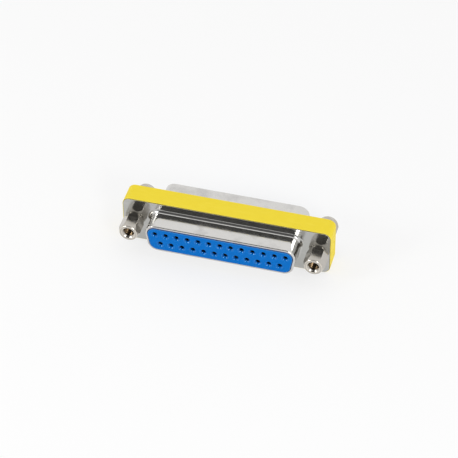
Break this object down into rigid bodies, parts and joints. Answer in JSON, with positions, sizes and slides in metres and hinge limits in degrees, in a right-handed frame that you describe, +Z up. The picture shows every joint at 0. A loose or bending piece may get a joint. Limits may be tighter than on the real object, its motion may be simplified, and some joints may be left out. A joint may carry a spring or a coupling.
{
  "type": "d-sub gender changer",
  "caption": "Compact D-sub adapter with a socket face at each end: drawn metal shells back to back in a plastic band, held together by hexagonal jack screws.",
  "frame": {"origin": "centre of the whole object, midway between the two flanges and on the line through both jack screws", "axes": "+X along the connector towards the right jack screw as seen from the front, -Y out of the front socket face, +Z up, the wide side of the front collar"},
  "size_m": [0.0532, 0.0172, 0.013],
  "materials": {
    "plated_steel": "bright tin plate on drawn steel sheet",
    "plated_brass": "nickel-plated turned brass",
    "contact_bronze": "gold-flashed phosphor bronze",
    "blue_plastic": "moulded, fine satin",
    "yellow_plastic": "moulded, smooth"
  },
  "bodies": {
    "root": {"band": "yellow_plastic", "front_shell": "plated_steel", "rear_shell": "plated_steel", "front_insulator": "blue_plastic", "rear_insulator": "blue_plastic", "jack_screw_left": "plated_brass", "jack_screw_right": "plated_brass", "jack_nut_left": "plated_brass", "jack_nut_right": "plated_brass", "contact_01": "contact_bronze", "contact_02": "contact_bronze", "contact_03": "contact_bronze", "contact_04": "contact_bronze", "contact_05": "contact_bronze", "contact_06": "contact_bronze", "contact_07": "contact_bronze", "contact_08": "contact_bronze", "contact_09": "contact_bronze", "contact_10": "contact_bronze", "contact_11": "contact_bronze", "contact_12": "contact_bronze", "contact_13": "contact_bronze", "contact_14": "contact_bronze", "contact_15": "contact_bronze", "contact_16": "contact_bronze", "contact_17": "contact_bronze", "contact_18": "contact_bronze", "contact_19": "contact_bronze", "contact_20": "contact_bronze", "contact_21": "contact_bronze", "contact_22": "contact_bronze", "contact_23": "contact_bronze", "contact_24": "contact_bronze", "contact_25": "contact_bronze"}
  },
  "joints": []
}
